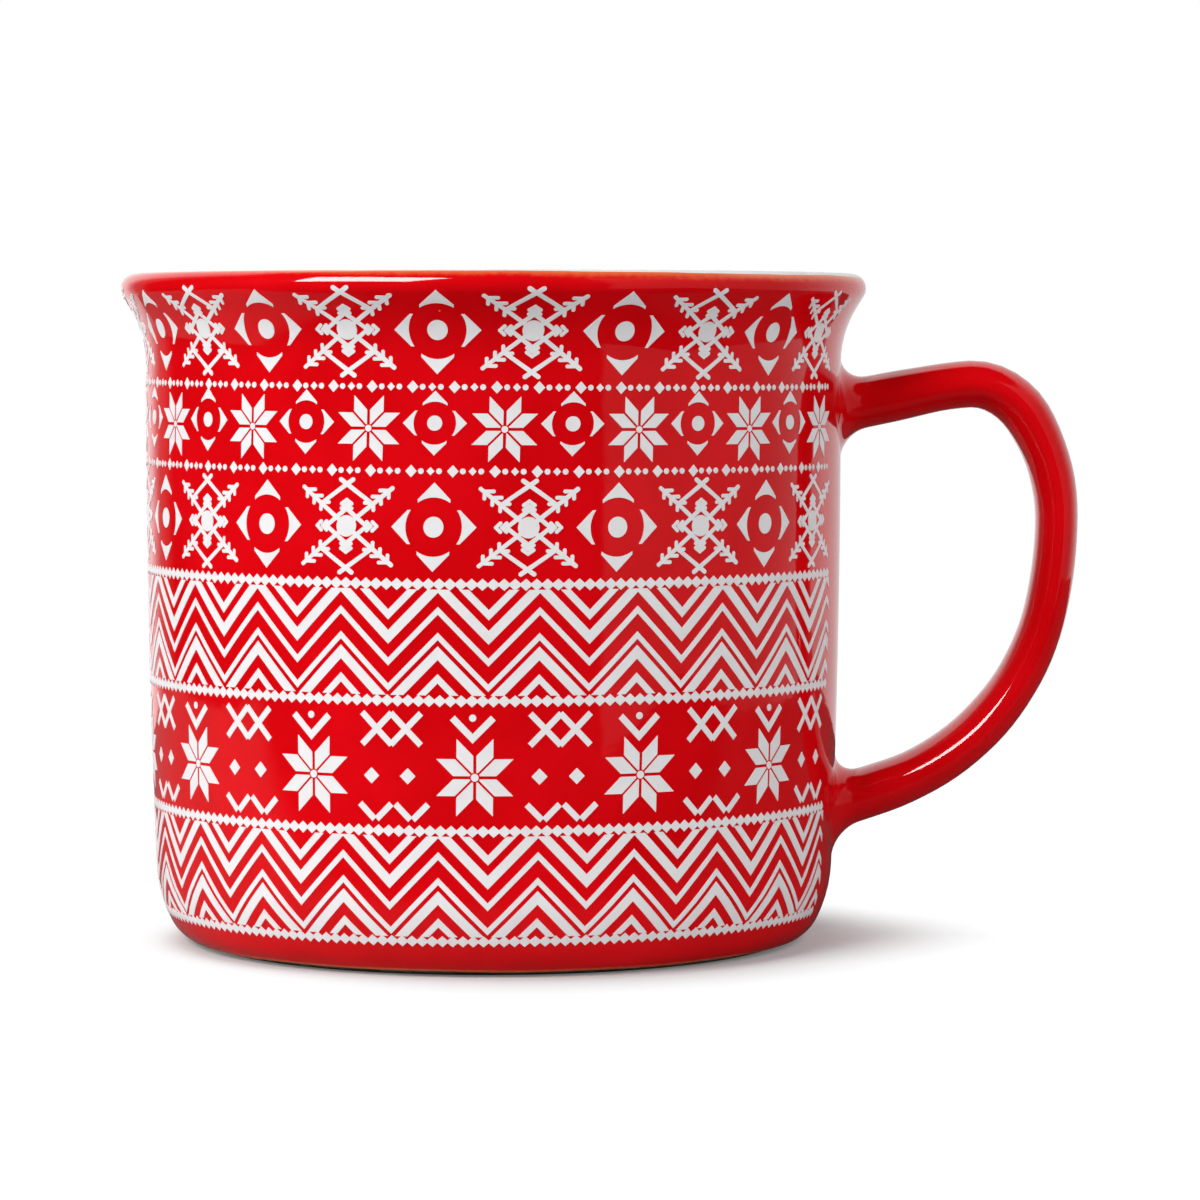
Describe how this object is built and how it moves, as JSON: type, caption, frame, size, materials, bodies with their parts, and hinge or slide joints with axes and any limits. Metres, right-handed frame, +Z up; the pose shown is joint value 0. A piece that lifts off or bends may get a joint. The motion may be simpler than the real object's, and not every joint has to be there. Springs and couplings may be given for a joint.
{
  "type": "mug",
  "caption": "Glazed stoneware mug with a flared lip, a D-shaped handle and a raised winter pattern of stars, snowflakes and zigzags printed round its wall.",
  "frame": {"origin": "centre of the foot ring, on the surface that the mug stands on", "axes": "+Z up along the mug's axis, +X from the axis towards the handle, -Y towards the middle of the print"},
  "size_m": [0.1313, 0.1016, 0.091],
  "materials": {
    "stoneware": "bare fired clay, matt, slightly gritty",
    "red_glaze": "deep glossy glaze, slightly wavy",
    "white_glaze": "glossy white liner glaze",
    "white_enamel": "printed enamel, satin, slightly raised"
  },
  "bodies": {
    "root": {"base_glaze": "red_glaze", "cup_body": "stoneware", "handle": "stoneware", "handle_glaze": "red_glaze", "liner_glaze": "white_glaze", "lower_slip_joint": "stoneware", "print_big_stars": "white_enamel", "print_chain_1": "white_enamel", "print_chain_2": "white_enamel", "print_chain_3": "white_enamel", "print_chain_4": "white_enamel", "print_chevron_dots": "white_enamel", "print_chevrons": "white_enamel", "print_diamonds": "white_enamel", "print_double_crosses": "white_enamel", "print_lower_dots": "white_enamel", "print_roundels": "white_enamel", "print_small_roundels": "white_enamel", "print_snowflakes": "white_enamel", "print_stars": "white_enamel", "print_upper_dots": "white_enamel", "print_upper_roundels": "white_enamel", "print_upper_snowflakes": "white_enamel", "print_waves": "white_enamel", "print_zigzag_lower": "white_enamel", "print_zigzag_upper": "white_enamel", "upper_slip_joint": "stoneware", "wall_glaze": "red_glaze"}
  },
  "joints": []
}
